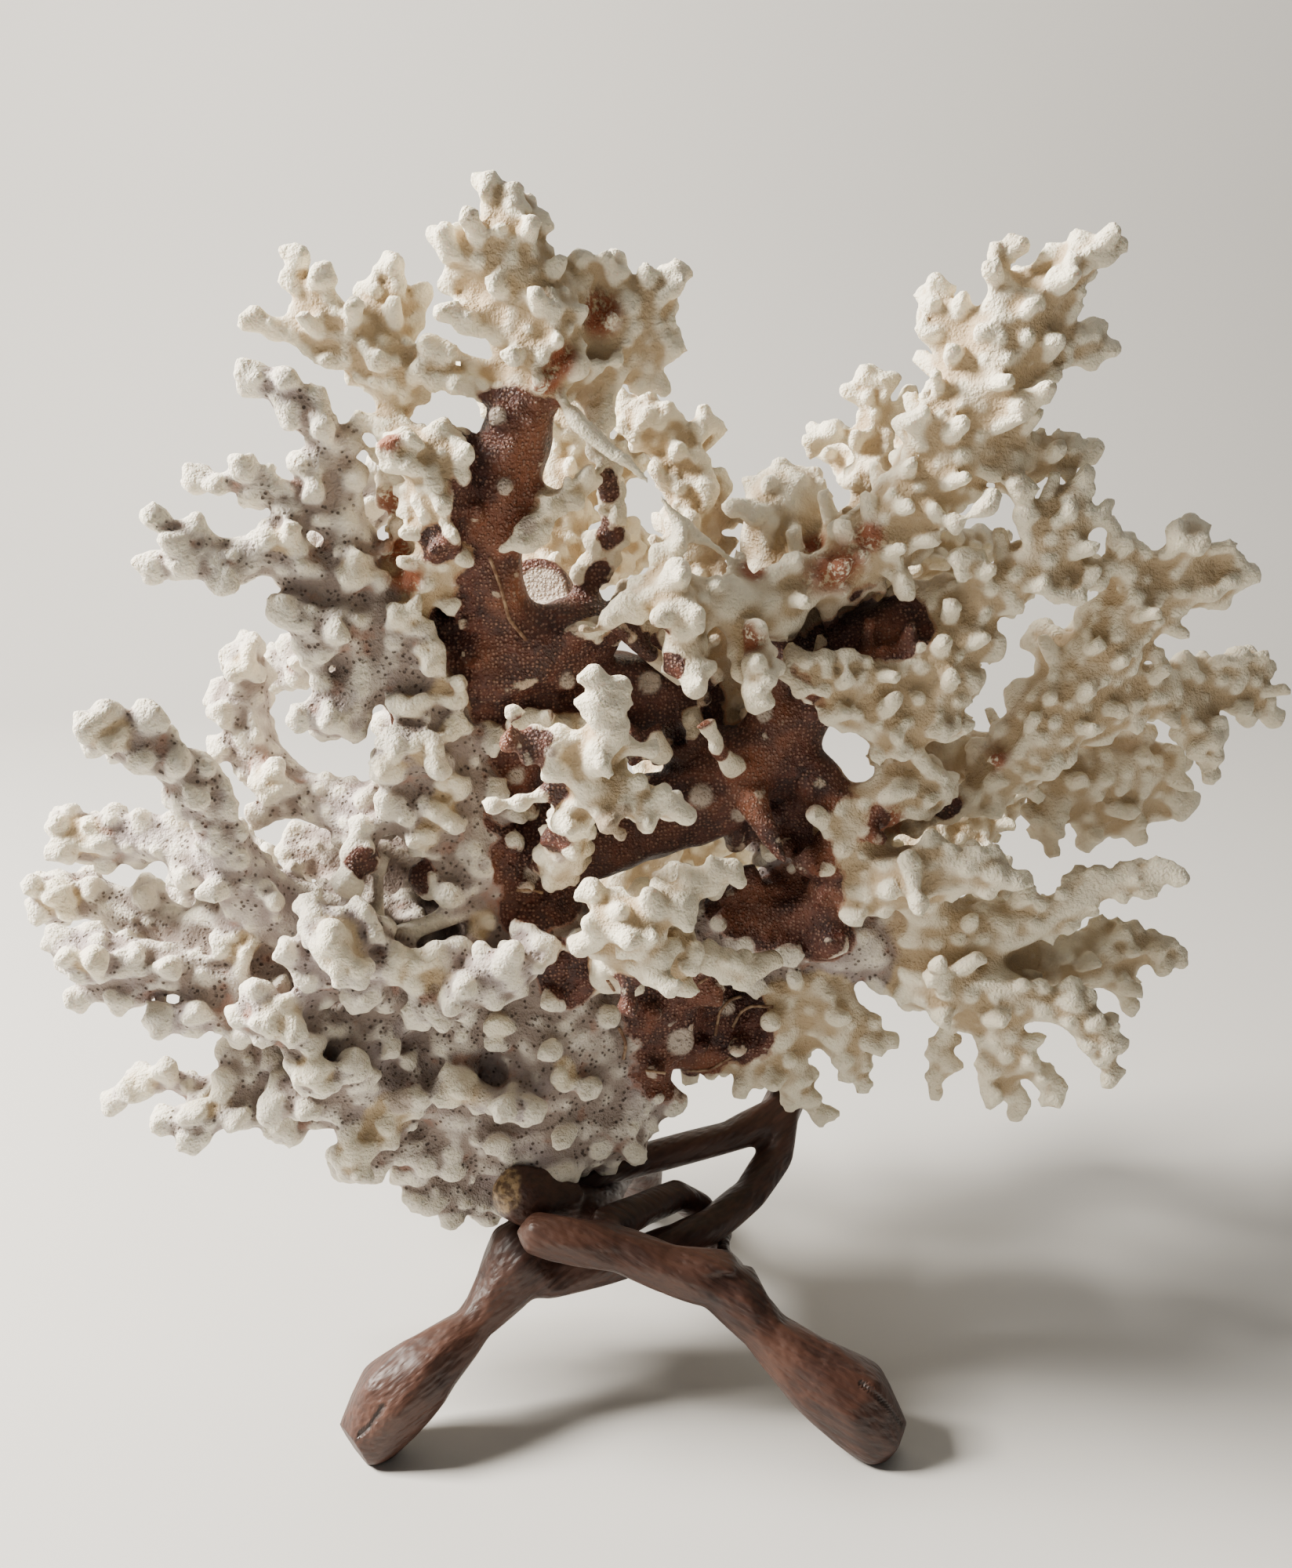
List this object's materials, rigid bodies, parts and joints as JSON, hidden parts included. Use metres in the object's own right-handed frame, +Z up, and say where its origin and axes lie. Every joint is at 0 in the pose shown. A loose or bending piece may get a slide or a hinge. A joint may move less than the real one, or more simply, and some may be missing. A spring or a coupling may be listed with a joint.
{
  "type": "branching coral on a stand",
  "caption": "Branching natural coral, wide spreading and knobbly, resting on a low stand of carved wooden legs that interlock.",
  "frame": {"origin": "on the floor under the middle of the whole piece's box", "axes": "+Z up, +X to the viewer's right, the side seen in the picture faces -Y"},
  "size_m": [0.3384, 0.1718, 0.3214],
  "materials": {
    "leg_wood": "satin, reddish brown, carved",
    "coral_brown": "matt stony coral, red-brown and dark stained",
    "coral_grey": "matt stony coral, finely pored, greyish with a lilac tinge",
    "coral_cream": "matt stony coral, knobbly, warm ivory"
  },
  "bodies": {
    "root": {"leg_left": "leg_wood", "leg_right": "leg_wood", "leg_back": "leg_wood", "coral_base": "coral_grey", "coral_trunk_left": "coral_grey", "coral_hand_upper_left": "coral_grey", "coral_twig_left": "coral_grey", "coral_hand_left": "coral_grey", "coral_hand_lower_left": "coral_grey", "coral_fingers_bottom_left": "coral_grey", "coral_trunk_middle": "coral_brown", "coral_crown_left": "coral_cream", "coral_crown_middle": "coral_cream", "coral_crown_inner": "coral_cream", "coral_arch": "coral_cream", "coral_trunk_right": "coral_brown", "coral_lobes_middle": "coral_cream", "coral_crown_right": "coral_cream", "coral_fan_back_middle": "coral_cream", "coral_fan_back_right": "coral_cream", "coral_fan_upper_right": "coral_cream", "coral_fan_right": "coral_cream", "coral_fan_lower_right": "coral_cream", "coral_hand_right": "coral_cream", "coral_hand_lower_right": "coral_cream", "coral_lobes_bottom": "coral_cream", "coral_antlers_front": "coral_cream", "coral_star_front": "coral_cream", "coral_back_low_left": "coral_grey", "coral_back_high_left": "coral_grey", "coral_back_high_middle": "coral_cream", "coral_back_low_middle": "coral_cream", "coral_back_low_right": "coral_cream", "coral_back_high_right": "coral_cream"}
  },
  "joints": []
}
